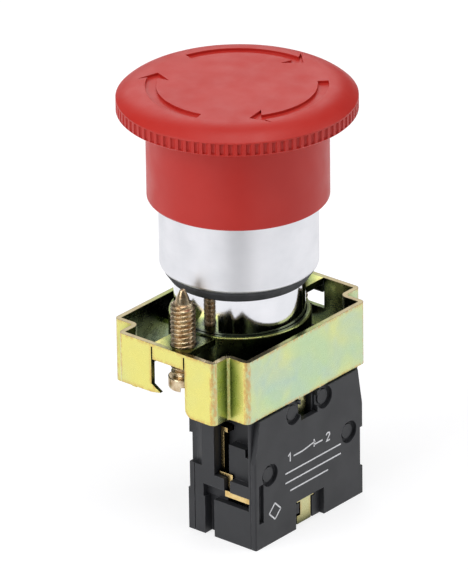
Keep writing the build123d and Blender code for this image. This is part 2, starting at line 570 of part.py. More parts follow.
def make_block_front_cover():
    """The front cover, tapered at the top, with its notch, slots and pin recesses."""
    right = [(BLOCK_HALF, 0), (BLOCK_HALF, COVER_SIDE_H)]
    right.append((BLOCK_HALF - COVER_SHOULDER_IN, COVER_SHOULDER_H))
    right.append((BLOCK_HALF - COVER_TOP_IN, NECK_H))
    outline = right + [(-u, h) for u, h in reversed(right)]
    with BuildPart() as cover:
        with BuildSketch(Plane.XZ.offset(-BLOCK_Y0 - FRONT_T)):
            with BuildLine():
                Polyline(*[(u, BLOCK_Z0 + h) for u, h in outline], close=True)
            make_face()
        extrude(amount=FRONT_T)
        front_edges = cover.faces().sort_by(Axis.Y)[0].edges()
        fillet(front_edges.filter_by(Axis.Z), COVER_ROUND)
        through = (-BOOL, FRONT_T + BOOL)
        notch_u = (-FOOT_NOTCH_HALF_W, FOOT_NOTCH_HALF_W)
        block_box(notch_u, through, (-BOOL, FOOT_NOTCH_H), Mode.SUBTRACT)
        slot_u = (-TOP_SLOT_HALF_W, TOP_SLOT_HALF_W)
        block_box(slot_u, through, (TOP_SLOT_LOW_H, NECK_H + BOOL), Mode.SUBTRACT)
        block_box(GROOVE_U, (-BOOL, GROOVE_DEPTH), GROOVE_HEIGHTS, Mode.SUBTRACT)
        edge_u = (BLOCK_HALF - EDGE_NOTCH_W, BLOCK_HALF + BOOL)
        block_box(edge_u, through, EDGE_NOTCH_HEIGHTS, Mode.SUBTRACT)
        for u, h in cover_pin_places():
            with Locations(Plane(origin=(u, BLOCK_Y0, h), z_dir=(0, -1, 0))):
                Cylinder(PIN_RECESS_R, 2 * PIN_RECESS_D, mode=Mode.SUBTRACT)
                Cylinder(PIN_R + FIT, 2 * FRONT_T + BOOL, mode=Mode.SUBTRACT)
    save(cover, "block_front_cover")


def cover_pin_places():
    """The cover pins' places, as X and Z, two on each side of the block's middle."""
    return [(side * u, BLOCK_Z0 + h) for u, h in PINS for side in (-1, 1)]


def make_cover_pins():
    """The four staked pins that hold the front cover on."""
    with BuildPart() as pins:
        for x, z in cover_pin_places():
            with BuildSketch(Plane.XZ.offset(-BLOCK_Y0 - FRONT_T)):
                with Locations((x, z)):
                    Circle(PIN_R)
            extrude(amount=FRONT_T - PIN_SINK)
    save(pins, "cover_pins")


def make_block_rear_cover():
    """The rear cover, with a shallow band across its back."""
    depths = (BLOCK_DEPTH - REAR_T, BLOCK_DEPTH)
    wide = (-BLOCK_HALF - BOOL, BLOCK_HALF + BOOL)
    with BuildPart() as cover:
        block_box((-BLOCK_HALF, BLOCK_HALF), depths, (0, BLOCK_H))
        fillet(cover.edges().filter_by(Axis.Z).group_by(Axis.Y)[-1], COVER_ROUND)
        band = (BLOCK_DEPTH - BAND_DEPTH, BLOCK_DEPTH + BOOL)
        block_box(wide, band, BAND_HEIGHTS, Mode.SUBTRACT)
        cut_neck()
    save(cover, "block_rear_cover")


def make_fixing_strap():
    """The zinc-plated strap whose hook hangs on the collar's tabs and carries the screw."""
    back = STRAP_FRONT + STRAP_T
    width = (-STRAP_HALF_W, STRAP_HALF_W)
    upper_y = [BLOCK_Y0 + depth + STRAP_JOG for depth in (STRAP_FRONT, back)]
    bend = (STRAP_BEND_H, STRAP_BEND_H + STRAP_T)
    with BuildPart() as strap:
        block_box(width, (STRAP_FRONT, back), (0, bend[1]))
        block_box(width, (STRAP_FRONT, back + STRAP_JOG), bend)
        box(width, upper_y, (BLOCK_Z0 + STRAP_BEND_H, HOOK_TOP_Z))
        box((-HOOK_HALF_W, HOOK_HALF_W), upper_y, (HOOK_TOP_Z - HOOK_H, HOOK_TOP_Z))
        block_box((STRAP_FOOT_U, 0), (STRAP_FRONT, back), (0, STRAP_FOOT_H))
        tongue = (TONGUE_LOW_H, TONGUE_HIGH_H)
        tongue_u = (-TONGUE_HALF_W, TONGUE_HALF_W)
        block_box(tongue_u, (STRAP_FRONT, TONGUE_DEPTH), tongue)
        hole = (TONGUE_LOW_H - BOOL, TONGUE_HIGH_H + BOOL)
        block_rod(0, STRAP_SCREW_DEPTH, STRAP_SCREW_R + FIT, hole, Mode.SUBTRACT)
    save(strap, "fixing_strap")


def slotted_screw(u, depth, shank_r, head_r, head_heights, top_h):
    """An upright slotted screw in the block, head down."""
    low, high = head_heights
    with BuildPart() as screw:
        block_rod(u, depth, head_r, (low, high))
        fillet(screw.edges().group_by(Axis.Z)[0], SCREW_ROUND)
        block_rod(u, depth, shank_r, (high - SCREW_ROUND, top_h))
        chamfer(screw.edges().group_by(Axis.Z)[-1], SCREW_ROUND)
        slot_u = (u - head_r, u + head_r)
        slot_depth = (depth - SCREW_SLOT_HALF_W, depth + SCREW_SLOT_HALF_W)
        block_box(slot_u, slot_depth, (low, low + SCREW_SLOT_D), Mode.SUBTRACT)
    return screw


def make_terminals():
    """At each end: the contact strip, the terminal screw and its wire saddle."""
    heads = (SCREW_HEAD_LOW_H, SCREW_HEAD_HIGH_H)
    for side, end in ((-1, "left"), (1, "right")):
        u = side * SCREW_U
        with BuildPart() as strip:
            plate_u = (side * STRIP_IN_U, side * STRIP_OUT_U)
            block_box(plate_u, (STRIP_T0, STRIP_T1), (STRIP_LOW_H, STRIP_HIGH_H))
            link_u = (side * LINK_IN_U, side * LINK_OUT_U)
            block_box(link_u, LINK_DEPTHS, (STRIP_LOW_H, LINK_TOP_H))
            foot_low = LINK_TOP_H - RISER_T
            foot_u = (side * RISER_IN_U, side * LINK_OUT_U)
            foot_depths = (STRIP_T1, RISER_DEPTHS[1])
            block_box(link_u, (LINK_DEPTHS[0], STRIP_T1), (foot_low, LINK_TOP_H))
            block_box(foot_u, foot_depths, (foot_low, LINK_TOP_H))
            riser_u = (side * RISER_IN_U, side * RISER_OUT_U)
            arm_high = ARM_H + ARM_THICK
            block_box(riser_u, RISER_DEPTHS, (foot_low, arm_high))
            turn_depths = (ARM_DEPTHS[0], RISER_DEPTHS[1])
            block_box(riser_u, turn_depths, (ARM_H, arm_high))
            block_box((side * ARM_IN_U, side * RISER_IN_U), ARM_DEPTHS, (ARM_H, arm_high))
            hole = (STRIP_LOW_H - BOOL, STRIP_HIGH_H + BOOL)
            block_rod(u, SCREW_DEPTH, SCREW_R + FIT, hole, Mode.SUBTRACT)
        save(strip, f"terminal_strip_{end}")
        screw = slotted_screw(u, SCREW_DEPTH, SCREW_R, SCREW_HEAD_R, heads, SCREW_TOP_H)
        save(screw, f"terminal_screw_{end}")
        with BuildPart() as saddle:
            saddle_u = (u - SADDLE_HALF_L, u + SADDLE_HALF_L)
            saddle_h = (SCREW_HEAD_HIGH_H, SCREW_HEAD_HIGH_H + SADDLE_T)
            block_box(saddle_u, SADDLE_DEPTHS, saddle_h)
            fillet(saddle.edges().filter_by(Axis.Z), SADDLE_ROUND)
            hole = (saddle_h[0] - BOOL, saddle_h[1] + BOOL)
            block_rod(u, SCREW_DEPTH, SCREW_R, hole, Mode.SUBTRACT)
        save(saddle, f"saddle_clamp_{end}")


def make_contact_set():
    """The plunger, the moving bridge with its tips, the fixed tips and their spring."""
    bridge_top = BRIDGE_H + BRIDGE_T
    shoulder_h = bridge_top + PLUNGER_FOOT_H
    with BuildPart() as plunger:
        block_rod(0, PLUNGER_DEPTH, PLUNGER_R, (bridge_top, PLUNGER_TOP_Z - BLOCK_Z0))
        fillet(plunger.edges().group_by(Axis.Z)[-1], PLUNGER_ROUND)
        foot = (-PLUNGER_FOOT_R, PLUNGER_FOOT_R)
        foot_depth = (PLUNGER_DEPTH - PLUNGER_R, PLUNGER_DEPTH + PLUNGER_R)
        block_box(foot, foot_depth, (bridge_top, shoulder_h))
    save(plunger, "contact_plunger")
    with BuildPart() as bridge:
        width = (PLUNGER_DEPTH - BRIDGE_HALF_W, PLUNGER_DEPTH + BRIDGE_HALF_W)
        block_box((-BRIDGE_HALF_L, BRIDGE_HALF_L), width, (BRIDGE_H, bridge_top))
        fillet(bridge.edges().filter_by(Axis.Z), BRIDGE_ROUND)
    save(bridge, "contact_bridge")
    with BuildPart() as moving:
        for side in (-1, 1):
            block_rod(side * TIP_U, PLUNGER_DEPTH, TIP_R, (bridge_top, bridge_top + TIP_T))
    save(moving, "moving_contacts")
    with BuildPart() as fixed:
        for side in (-1, 1):
            tip_low = bridge_top + TIP_T + AIR
            block_rod(side * TIP_U, PLUNGER_DEPTH, TIP_R, (tip_low, ARM_H))
    save(fixed, "fixed_contacts")
    span = (BLOCK_Z0 + SPRING_FLOOR_H, BLOCK_Z0 + BRIDGE_H)
    y = BLOCK_Y0 + PLUNGER_DEPTH
    spring = coil(0, y, CONTACT_COIL_R, CONTACT_WIRE_R, span, CONTACT_TURNS)
    save(spring, "contact_spring")


def make_strap_screw():
    """The screw under the strap's tongue that draws the block up to the collar."""
    heads = (STRAP_SCREW_HEAD_LOW_H, STRAP_SCREW_HEAD_HIGH_H)
    radii = (STRAP_SCREW_R, STRAP_SCREW_HEAD_R)
    screw = slotted_screw(0, STRAP_SCREW_DEPTH, *radii, heads, STRAP_SCREW_TOP_H)
    save(screw, "strap_screw")


def main():
    make_mushroom_cap()
    make_release_spindle()
    make_spindle_circlip()
    make_press_sleeve()
    make_pusher_plate()
    make_head_springs()
    make_head_housing()
    make_panel_gasket()
    make_guide_bush()
    make_latch_spring()
    make_shaft_seal()
    make_mounting_collar()
    make_clamp_screws()
    make_block_body()
    make_block_front_cover()
    make_cover_pins()
    make_block_rear_cover()
    make_fixing_strap()
    make_strap_screw()
    make_terminals()
    make_contact_set()


main()
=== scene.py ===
"""Looks of the panel emergency stop button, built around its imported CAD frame. Everything is in metres."""

import json
import math

import bmesh
import bpy
from mathutils import Matrix, Vector


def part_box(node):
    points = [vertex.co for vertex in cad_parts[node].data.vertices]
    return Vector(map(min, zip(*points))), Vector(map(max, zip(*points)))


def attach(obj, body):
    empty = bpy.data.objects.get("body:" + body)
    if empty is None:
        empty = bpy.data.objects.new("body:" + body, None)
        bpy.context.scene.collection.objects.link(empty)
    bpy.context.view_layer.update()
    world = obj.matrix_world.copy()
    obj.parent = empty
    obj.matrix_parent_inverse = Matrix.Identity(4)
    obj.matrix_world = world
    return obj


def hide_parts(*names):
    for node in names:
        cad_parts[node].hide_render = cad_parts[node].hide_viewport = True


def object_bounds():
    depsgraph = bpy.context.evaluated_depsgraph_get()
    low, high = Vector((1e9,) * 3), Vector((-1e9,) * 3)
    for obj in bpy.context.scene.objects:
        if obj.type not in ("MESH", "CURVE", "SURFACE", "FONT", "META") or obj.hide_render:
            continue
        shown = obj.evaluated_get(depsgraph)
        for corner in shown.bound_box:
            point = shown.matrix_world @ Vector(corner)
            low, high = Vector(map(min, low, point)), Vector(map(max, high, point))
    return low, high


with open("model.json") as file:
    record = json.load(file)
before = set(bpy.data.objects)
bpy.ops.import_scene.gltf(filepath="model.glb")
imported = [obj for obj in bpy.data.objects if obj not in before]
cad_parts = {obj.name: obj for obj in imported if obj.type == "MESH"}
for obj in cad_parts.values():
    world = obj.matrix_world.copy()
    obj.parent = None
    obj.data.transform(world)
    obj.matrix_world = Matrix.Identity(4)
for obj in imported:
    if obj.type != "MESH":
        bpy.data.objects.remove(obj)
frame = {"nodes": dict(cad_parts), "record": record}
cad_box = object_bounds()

MM = 0.001
UP = Vector((0, 0, 1))

PLASTIC_SPECULAR = 0.36
PLASTIC_GRAIN = 0.22 * MM
PLASTIC_GRAIN_DEPTH = 0.004 * MM
SINK_DEPTH = 0.03 * MM

# Where the brown of the collar's sheared edge fades in: past an arm's end or side, and under the ring's lip.
ARM_END = (18.3 * MM, 18.4 * MM)
ARM_SIDE = (4.1 * MM, 4.2 * MM)
RING_LIP = (-6.8 * MM, -6.88 * MM)
BEZEL_FOOT = (1.6 * MM, 2.0 * MM)

SHEARED_STEEL = (0.30, 0.24, 0.16)
# Painted shade: the near-black that the collar's most closed-in hollows are painted.
DEEP_SHADE = (0.025, 0.035, 0.02)


# ---------------------------------------------------------------- materials


class Finish:
    """One material's node graph, with short calls for what the finishes have in common."""

    def __init__(self, name, metallic=0.0):
        self.material = bpy.data.materials.new(name)
        self.material.use_nodes = True
        self.nodes = self.material.node_tree.nodes
        self.links = self.material.node_tree.links
        self.shader = self.nodes["Principled BSDF"]
        self.shader.inputs["Metallic"].default_value = metallic
        self.place = self.nodes.new("ShaderNodeTexCoord").outputs["Object"]

    def feed(self, socket, value):
        """Links value to the socket if it comes from a node, and sets it if it is a number or a colour."""
        if isinstance(value, bpy.types.NodeSocket):
            self.links.new(value, socket)
        elif hasattr(value, "__len__") and len(value) == 3 and socket.type == "RGBA":
            socket.default_value = (*value, 1)
        else:
            socket.default_value = value

    def node(self, kind, inputs, **settings):
        made = self.nodes.new(kind)
        for key, value in settings.items():
            setattr(made, key, value)
        for key, value in inputs.items():
            self.feed(made.inputs[key], value)
        return made

    def noise(self, size, detail=3.0, stretch=(1, 1, 1), shift=0.0, warp=0.0):
        """Noise about 0.5 whose features are size metres across, longer along a stretched axis."""
        scale = [1 / (size * s) for s in stretch]
        placing = {"Vector": self.place, "Scale": scale, "Location": [shift] * 3}
        placed = self.node("ShaderNodeMapping", placing)
        wave = {"Vector": placed.outputs["Vector"], "Scale": 1.0, "Detail": detail, "Distortion": warp}
        return self.node("ShaderNodeTexNoise", wave).outputs["Fac"]

    def span(self, value, low, high, to_low=0.0, to_high=1.0):
        """value, read from low to high, as to_low to to_high and no further."""
        limits = {"Value": value, "From Min": low, "From Max": high, "To Min": to_low, "To Max": to_high}
        return self.node("ShaderNodeMapRange", limits).outputs["Result"]

    def mix(self, share, first, second):
        """The first colour where share is 0, and the second where it is 1."""
        return self.node("ShaderNodeMix", {0: share, 6: first, 7: second}, data_type="RGBA").outputs[2]

    def math(self, operation, first, second):
        return self.node("ShaderNodeMath", {0: first, 1: second}, operation=operation).outputs["Value"]

    def along(self, axis):
        """The place along X, Y or Z, in metres."""
        return self.node("ShaderNodeSeparateXYZ", {"Vector": self.place}).outputs[axis]

    def facing(self, axis):
        """How far the surface faces along X, Y or Z, from -1 to 1."""
        normal = self.node("ShaderNodeNewGeometry", {}).outputs["Normal"]
        return self.node("ShaderNodeSeparateXYZ", {"Vector": normal}).outputs[axis]

    def edges(self, radius):
        """1 along edges and corners, fading to 0 on open faces about radius away."""
        rounded = self.node("ShaderNodeBevel", {"Radius": radius}, samples=8).outputs["Normal"]
        plain = self.node("ShaderNodeNewGeometry", {}).outputs["Normal"]
        agree = self.node("ShaderNodeVectorMath", {0: rounded, 1: plain}, operation="DOT_PRODUCT")
        return self.span(agree.outputs["Value"], 0.995, 0.88)

    def shelter(self, reach):
        """0 in the open, rising to 1 where other surfaces stand close around."""
        open_sky = self.node("ShaderNodeAmbientOcclusion", {"Distance": reach}, samples=8).outputs["AO"]
        return self.span(open_sky, 0.85, 0.4)

    def colour(self, value):
        self.feed(self.shader.inputs["Base Color"], value)

    def roughness(self, value):
        self.feed(self.shader.inputs["Roughness"], value)

    def relief(self, layers, round_edges=0.12 * MM):
        """Bumps, each a (height in metres, noise), over edges that catch the light as if rounded."""
        normal = self.node("ShaderNodeBevel", {"Radius": round_edges}, samples=8).outputs["Normal"]
        for depth, bumps in layers:
            bump = {"Distance": depth, "Height": bumps, "Normal": normal, "Strength": 1.0}
            normal = self.node("ShaderNodeBump", bump).outputs["Normal"]
        self.feed(self.shader.inputs["Normal"], normal)


def moulded(name, dark, light, worn, gloss):
    """Injection-moulded plastic: cloudy colour, spark-eroded grain and edges rubbed to a paler shade."""
    finish = Finish(name)
    finish.shader.inputs["Specular IOR Level"].default_value = PLASTIC_SPECULAR
    clouds = finish.noise(7 * MM, detail=4)
    body = finish.mix(finish.span(clouds, 0.3, 0.7), dark, light)
    handled_there = finish.span(finish.noise(1.1 * MM), 0.38, 0.66)
    rubbed = finish.math("MULTIPLY", finish.edges(0.25 * MM), handled_there)
    finish.colour(finish.mix(finish.math("MULTIPLY", rubbed, 0.6), body, worn))
    handled = finish.noise(3.5 * MM, detail=5, shift=4)
    finish.roughness(finish.span(handled, 0.3, 0.7, gloss - 0.05, gloss + 0.07))
    grain = finish.noise(PLASTIC_GRAIN, detail=2)
    sink = finish.noise(6 * MM, detail=1)
    finish.relief([(PLASTIC_GRAIN_DEPTH, grain), (SINK_DEPTH, sink)])
    return finish.material


def cut_rim(finish):
    """1 on edges sheared to face up, below the ring's lip and off its arms, and 0 elsewhere."""
    x = finish.math("ABSOLUTE", finish.along("X"), 0)
    y = finish.math("ABSOLUTE", finish.along("Y"), 0)
    off_the_arms = finish.math("MAXIMUM", finish.span(x, *ARM_END), finish.span(y, *ARM_SIDE))
    below_the_ring = finish.span(finish.along("Z"), *RING_LIP)
    on_top = finish.math("MULTIPLY", finish.span(finish.facing("Z"), 0.5, 0.9), below_the_ring)
    return finish.math("MULTIPLY", on_top, off_the_arms)


def passivated_zinc(name, warm, cool, blue, blush, shade, reach):
    """Yellow chromate on zinc: a film that drifts from warm to cool and blue, with blush speckles at bends;
    walls facing along Y are also painted cooler and bluer, as painted reflection.

    Painted shade: places closed in by other surfaces within reach are painted the shade colour, and the
    deepest of them are painted dark.
    """
    finish = Finish(name, metallic=1.0)
    toward_x = finish.math("ABSOLUTE", finish.facing("X"), 0)
    toward_y = finish.math("ABSOLUTE", finish.facing("Y"), 0)
    drift = finish.noise(11 * MM, detail=2, warp=0.6)
    # Painted reflection over a real drift: walls facing along Y are painted cooler than the ends, a hue the
    # real film shows by view and reflection.
    drift_and_painted_tint = finish.math("ADD", drift, finish.span(toward_y, 0.2, 0.9, -0.24, 0.2))
    film = finish.mix(finish.span(drift_and_painted_tint, 0.22, 0.78), warm, cool)
    patches = finish.noise(6 * MM, detail=2, shift=7, warp=0.5)
    # Painted reflection: the blue patches, a real tone, are painted mostly onto walls facing along Y.
    painted_wall_tint = finish.span(toward_y, 0.3, 0.9, 0.05, 0.75)
    bluish = finish.math("MULTIPLY", finish.span(patches, 0.42, 0.78), painted_wall_tint)
    film = finish.mix(bluish, film, blue)
    bent = finish.span(finish.math("MULTIPLY", toward_x, toward_y), 0.03, 0.25)
    bend = finish.math("MAXIMUM", finish.edges(1.3 * MM), bent)
    speckle = finish.span(finish.noise(0.5 * MM, detail=4, stretch=(1, 1, 2)), 0.36, 0.6)
    film = finish.mix(finish.math("MULTIPLY", finish.math("MULTIPLY", bend, speckle), 0.75), film, blush)
    film = finish.mix(finish.math("MULTIPLY", cut_rim(finish), 0.85), film, SHEARED_STEEL)
    # Painted shade from ambient occlusion: the film is darkened toward the shade colour, then near-black,
    # where other surfaces stand close.
    painted_shade_mask = finish.shelter(reach)
    film = finish.mix(finish.span(painted_shade_mask, 0.0, 0.35), film, shade)
    finish.colour(finish.mix(finish.span(painted_shade_mask, 0.35, 0.8), film, DEEP_SHADE))
    finish.roughness(finish.span(finish.noise(1.6 * MM, detail=6), 0.3, 0.7, 0.2, 0.36))
    drawn = finish.noise(0.16 * MM, detail=2, stretch=(1, 1, 3))
    finish.relief([(0.004 * MM, drawn), (0.05 * MM, finish.noise(5 * MM, detail=1))], 0.1 * MM)
    return finish.material


def plain_metal(name, dark, light, gloss, occlusion_shade=0.0):
    """Stamped, turned or drawn metal: tarnish, tool marks, bright edges, and painted shade that darkens
    closed-in spots.
    """
    finish = Finish(name, metallic=1.0)
    tarnish = finish.span(finish.noise(1.2 * MM, detail=5), 0.32, 0.68)
    body = finish.mix(tarnish, dark, light)
    bright = [min(1.0, 1.15 * c) for c in light]
    rubbed = finish.mix(finish.math("MULTIPLY", finish.edges(0.15 * MM), 0.6), body, bright)
    # Painted shade: ambient occlusion darkens closed-in spots toward near-black.
    painted_shade_mask = finish.math("MULTIPLY", finish.span(finish.shelter(6 * MM), 0.15, 0.6), occlusion_shade)
    finish.colour(finish.mix(painted_shade_mask, rubbed, [0.06 * c for c in dark]))
    wear = finish.noise(0.7 * MM, detail=4, shift=3)
    finish.roughness(finish.span(wear, 0.3, 0.7, gloss - 0.06, gloss + 0.1))
    finish.relief([(0.003 * MM, finish.noise(0.12 * MM, detail=3))], 0.08 * MM)
    return finish.material


def head_chrome(name):
    """Satin chrome on the bezel, and mirror chrome on the barrel below it."""
    finish = Finish(name, metallic=1.0)
    veil = finish.noise(6 * MM, detail=3)
    finish.colour(finish.mix(finish.span(veil, 0.35, 0.65), (0.73, 0.735, 0.765), (0.80, 0.80, 0.83)))
    satin = finish.span(finish.noise(0.5 * MM, detail=5, stretch=(4, 4, 1)), 0.3, 0.7, 0.36, 0.45)
    mirror = finish.span(finish.noise(2 * MM, detail=4), 0.3, 0.7, 0.05, 0.11)
    on_bezel = finish.span(finish.along("Z"), *BEZEL_FOOT)
    rough = finish.node("ShaderNodeMix", {0: on_bezel, 2: mirror, 3: satin}, data_type="FLOAT")
    finish.roughness(rough.outputs[0])
    brushing = finish.noise(0.1 * MM, detail=2, stretch=(6, 6, 1))
    finish.relief([(0.0015 * MM, brushing), (0.02 * MM, finish.noise(5 * MM, detail=1))], 0.15 * MM)
    return finish.material


def rubber(name):
    finish = Finish(name)
    bloom = finish.span(finish.noise(2.2 * MM, detail=5), 0.35, 0.7)
    finish.colour(finish.mix(bloom, (0.032, 0.033, 0.036), (0.055, 0.056, 0.06)))
    finish.roughness(finish.span(finish.noise(0.8 * MM), 0.3, 0.7, 0.55, 0.75))
    finish.relief([(0.008 * MM, finish.noise(0.18 * MM, detail=2))])
    return finish.material


def ink(name):
    """Pad-printed white ink, thin in places."""
    finish = Finish(name)
    thin = finish.span(finish.noise(0.16 * MM, detail=3), 0.3, 0.5)
    finish.colour(finish.mix(thin, (0.45, 0.46, 0.48), (0.80, 0.80, 0.82)))
    finish.roughness(finish.span(finish.noise(0.4 * MM), 0.3, 0.7, 0.45, 0.65))
    finish.relief([(0.003 * MM, finish.noise(0.1 * MM, detail=2))], 0.01 * MM)
    return finish.material


def plastics():
    return {
        "red_plastic": moulded(
            "red_nylon",
            dark=(0.50, 0.020, 0.013),
            light=(0.53, 0.024, 0.016),
            worn=(0.58, 0.045, 0.032),
            gloss=0.42,
        ),
        "black_plastic": moulded(
            "charcoal_polyamide",
            dark=(0.024, 0.025, 0.028),
            light=(0.031, 0.032, 0.036),
            worn=(0.10, 0.10, 0.11),
            gloss=0.44,
        ),
        "inner_plastic": moulded(
            "grey_acetal",
            dark=(0.10, 0.10, 0.10),
            light=(0.14, 0.14, 0.14),
            worn=(0.25, 0.25, 0.25),
            gloss=0.35,
        ),
        "plunger_red": moulded(
            "red_acetal",
            dark=(0.42, 0.04, 0.03),
            light=(0.50, 0.06, 0.04),
            worn=(0.62, 0.14, 0.10),
            gloss=0.32,
        ),
    }


def passivated_metals():
    return {
        "yellow_zinc": passivated_zinc(
            "yellow_chromate_zinc",
            warm=(0.80, 0.74, 0.22),
            cool=(0.50, 0.64, 0.38),
            blue=(0.42, 0.56, 0.52),
            blush=(0.62, 0.34, 0.12),
            shade=(0.30, 0.38, 0.10),
            reach=9 * MM,
        ),
        "strap_zinc": passivated_zinc(
            "strap_chromate_zinc",
            warm=(0.74, 0.66, 0.30),
            cool=(0.60, 0.60, 0.34),
            blue=(0.55, 0.57, 0.48),
            blush=(0.62, 0.40, 0.17),
            shade=(0.50, 0.46, 0.20),
            reach=4 * MM,
        ),
    }


def plain_metals():
    return {
        "screw_zinc": plain_metal("screw_chromate_zinc", (0.38, 0.23, 0.11), (0.74, 0.62, 0.42), 0.26),
        # The brass takes the full painted shade in its closed-in spots.
        "brass": plain_metal("stamped_brass", (0.68, 0.46, 0.17), (0.86, 0.66, 0.32), 0.24, occlusion_shade=1.0),
        "silver": plain_metal("contact_silver", (0.66, 0.65, 0.62), (0.86, 0.85, 0.83), 0.26),
        "spring_steel": plain_metal("drawn_wire", (0.30, 0.30, 0.31), (0.52, 0.52, 0.53), 0.3),
        "steel": plain_metal("bright_steel", (0.50, 0.49, 0.47), (0.70, 0.69, 0.67), 0.28),
    }


def finishes():
    """The material of each slot in the record, and the ink."""
    single = {
        "satin_chrome": head_chrome("chrome_plate"),
        "gasket_rubber": rubber("black_rubber"),
        "ink": ink("white_ink"),
    }
    return {**plastics(), **passivated_metals(), **plain_metals(), **single}


def dress_nodes(looks):
    """Gives every CAD node the finish of its slot."""
    slot_of = {s["node"]: s["material_slot"] for s in frame["record"]["subparts"]}
    for name, piece in frame["nodes"].items():
        piece.data.materials.clear()
        piece.data.materials.append(looks[slot_of[name]])


# ---------------------------------------------------------------- meshes


def add_piece(name, shape, look, body):
    """Makes a bmesh into a piece in the row frame that rides on a body."""
    mesh = bpy.data.meshes.new(name)
    shape.to_mesh(mesh)
    shape.free()
    mesh.materials.append(look)
    piece = bpy.data.objects.new(name, mesh)
    bpy.context.scene.collection.objects.link(piece)
    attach(piece, body)
    return piece


def turned(rows, around, place):
    """A closed, turned solid that stands on place. rows are (height, radius of an angle), foot first."""
    shape = bmesh.new()
    rings = []
    for height, radius in rows:
        ring = []
        for step in range(around):
            angle = 2 * math.pi * step / around
            r = radius(angle)
            ring.append(shape.verts.new(place + Vector((r * math.cos(angle), r * math.sin(angle), height))))
        rings.append(ring)
    for low, high in zip(rings, rings[1:]):
        for step in range(around):
            after = (step + 1) % around
            shape.faces.new((low[step], low[after], high[after], high[step]))
    shape.faces.new(reversed(rings[0]))
    shape.faces.new(rings[-1])
    return shape


# The clamp screws: the CAD nodes give their place, length and tip.
THREAD_R = 2.1 * MM
THREAD_ROOT = 1.62 * MM
THREAD_PITCH = 0.8 * MM
THREAD_ROWS = 12
HEAD_R = 2.6 * MM
HEAD_T = 2.3 * MM
HEAD_ROUND = 0.6 * MM
HEAD_ROUND_ROWS = 6
HEAD_CHAMFER = 0.15 * MM
TIP_LENGTH = 2.4 * MM
TIP_BASE_R = 1.35 * MM
TIP_END_R = 0.48 * MM
TIP_END_ROUND = 0.15 * MM
TIP_ROWS = 8
TIP_BULGE = 0.06 * MM
TIP_SHOULDERS = ((0.04 * MM, 0.1 * MM), (0.0, 0.25 * MM))  # each a depth below the point and a cut in radius
ROW_GAP = 0.02 * MM
CREST_GAIN, CREST_DROP = 1.3, 0.12
SLOT_WIDTH = 0.8 * MM
SLOT_DEPTH = 1.0 * MM
SLOT_TURN = math.radians(35)
AROUND = 64


def thread(height, fade):
    """The thread's radius at this height as a function of the angle: a V with a flattened crest."""

    def radius(angle):
        turn = (height / THREAD_PITCH - angle / (2 * math.pi)) % 1.0
        crest = min(1.0, max(0.0, CREST_GAIN * (1 - abs(2 * turn - 1)) - CREST_DROP))
        return THREAD_ROOT + (THREAD_R - THREAD_ROOT) * crest * fade

    return radius


def even(radius):
    """The same radius at every angle."""
    return lambda angle: radius


def head_rows():
    """A clamp screw's head, rounded at the foot and bevelled at the top."""
    rows = []
    for step in range(HEAD_ROUND_ROWS + 1):
        turn = math.pi / 2 * step / HEAD_ROUND_ROWS
        rows.append((HEAD_ROUND * (1 - math.cos(turn)), even(HEAD_R - HEAD_ROUND * (1 - math.sin(turn)))))
    rows.append((HEAD_T - HEAD_CHAMFER, even(HEAD_R)))
    rows.append((HEAD_T, even(HEAD_R - HEAD_CHAMFER)))
    rows.append((HEAD_T, even(THREAD_ROOT)))
    return rows


def shank_rows(start, end):
    """The threaded shank, whose thread fades out at both ends."""
    rows = []
    count = round((end - start) / THREAD_PITCH * THREAD_ROWS)
    for step in range(count + 1):
        height = start + (end - start) * step / count
        fade = min(1.0, (height - start) / THREAD_PITCH, (end - height) / (0.5 * THREAD_PITCH))
        rows.append((height, thread(height, max(0.0, fade))))
    return rows


def tip_rows(start):
    """The slightly bulging cone and its rounded point."""
    rows = [(start + ROW_GAP, even(TIP_BASE_R))]
    cone = TIP_LENGTH - TIP_END_ROUND
    for step in range(1, TIP_ROWS + 1):
        share = step / TIP_ROWS
        bulge = TIP_BULGE * math.sin(math.pi * share)
        rows.append((start + cone * share, even(TIP_BASE_R + (TIP_END_R - TIP_BASE_R) * share + bulge)))
    for below, narrower in TIP_SHOULDERS:
        rows.append((start + TIP_LENGTH - below, even(TIP_END_R - narrower)))
    return rows


def clamp_screw_rows(length):
    """(height, radius) rows of a clamp screw, from the foot of its head to its point."""
    shank_end = length - TIP_LENGTH
    return head_rows() + shank_rows(HEAD_T + ROW_GAP, shank_end) + tip_rows(shank_end)


def cut(piece, cutter):
    """Takes the cutter's box out of the piece for good."""
    tool = bpy.data.objects.new("cutter", bpy.data.meshes.new("cutter"))
    cutter.to_mesh(tool.data)
    cutter.free()
    bpy.context.scene.collection.objects.link(tool)
    groove = piece.modifiers.new("groove", "BOOLEAN")
    groove.operation = "DIFFERENCE"
    groove.solver = "EXACT"
    groove.object = tool
    finished = bpy.data.meshes.new_from_object(piece.evaluated_get(bpy.context.evaluated_depsgraph_get()))
    piece.modifiers.clear()
    piece.data = finished
    bpy.data.objects.remove(tool)


def smooth(piece, angle=35):
    """Smooth shading, except across edges sharper than the angle in degrees."""
    mesh = piece.data
    mesh.polygons.foreach_set("use_smooth", [True] * len(mesh.polygons))
    mesh.set_sharp_from_angle(angle=math.radians(angle))


def clamp_screw(side, looks):
    node = "clamp_screw_" + side
    low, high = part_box(node)
    foot = Vector(((low.x + high.x) / 2, (low.y + high.y) / 2, low.z))
    shape = turned(clamp_screw_rows(high.z - low.z), AROUND, foot)
    piece = add_piece(node + "_threaded", shape, looks["screw_zinc"], "clamp_" + side)
    slot = bmesh.new()
    size = Matrix.Diagonal((4 * HEAD_R, SLOT_WIDTH, 2 * SLOT_DEPTH, 1))
    turned_slot = Matrix.Rotation(SLOT_TURN, 4, "Z")
    bmesh.ops.create_cube(slot, size=1, matrix=Matrix.Translation(foot) @ turned_slot @ size)
    cut(piece, slot)
    smooth(piece)
    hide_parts(node)


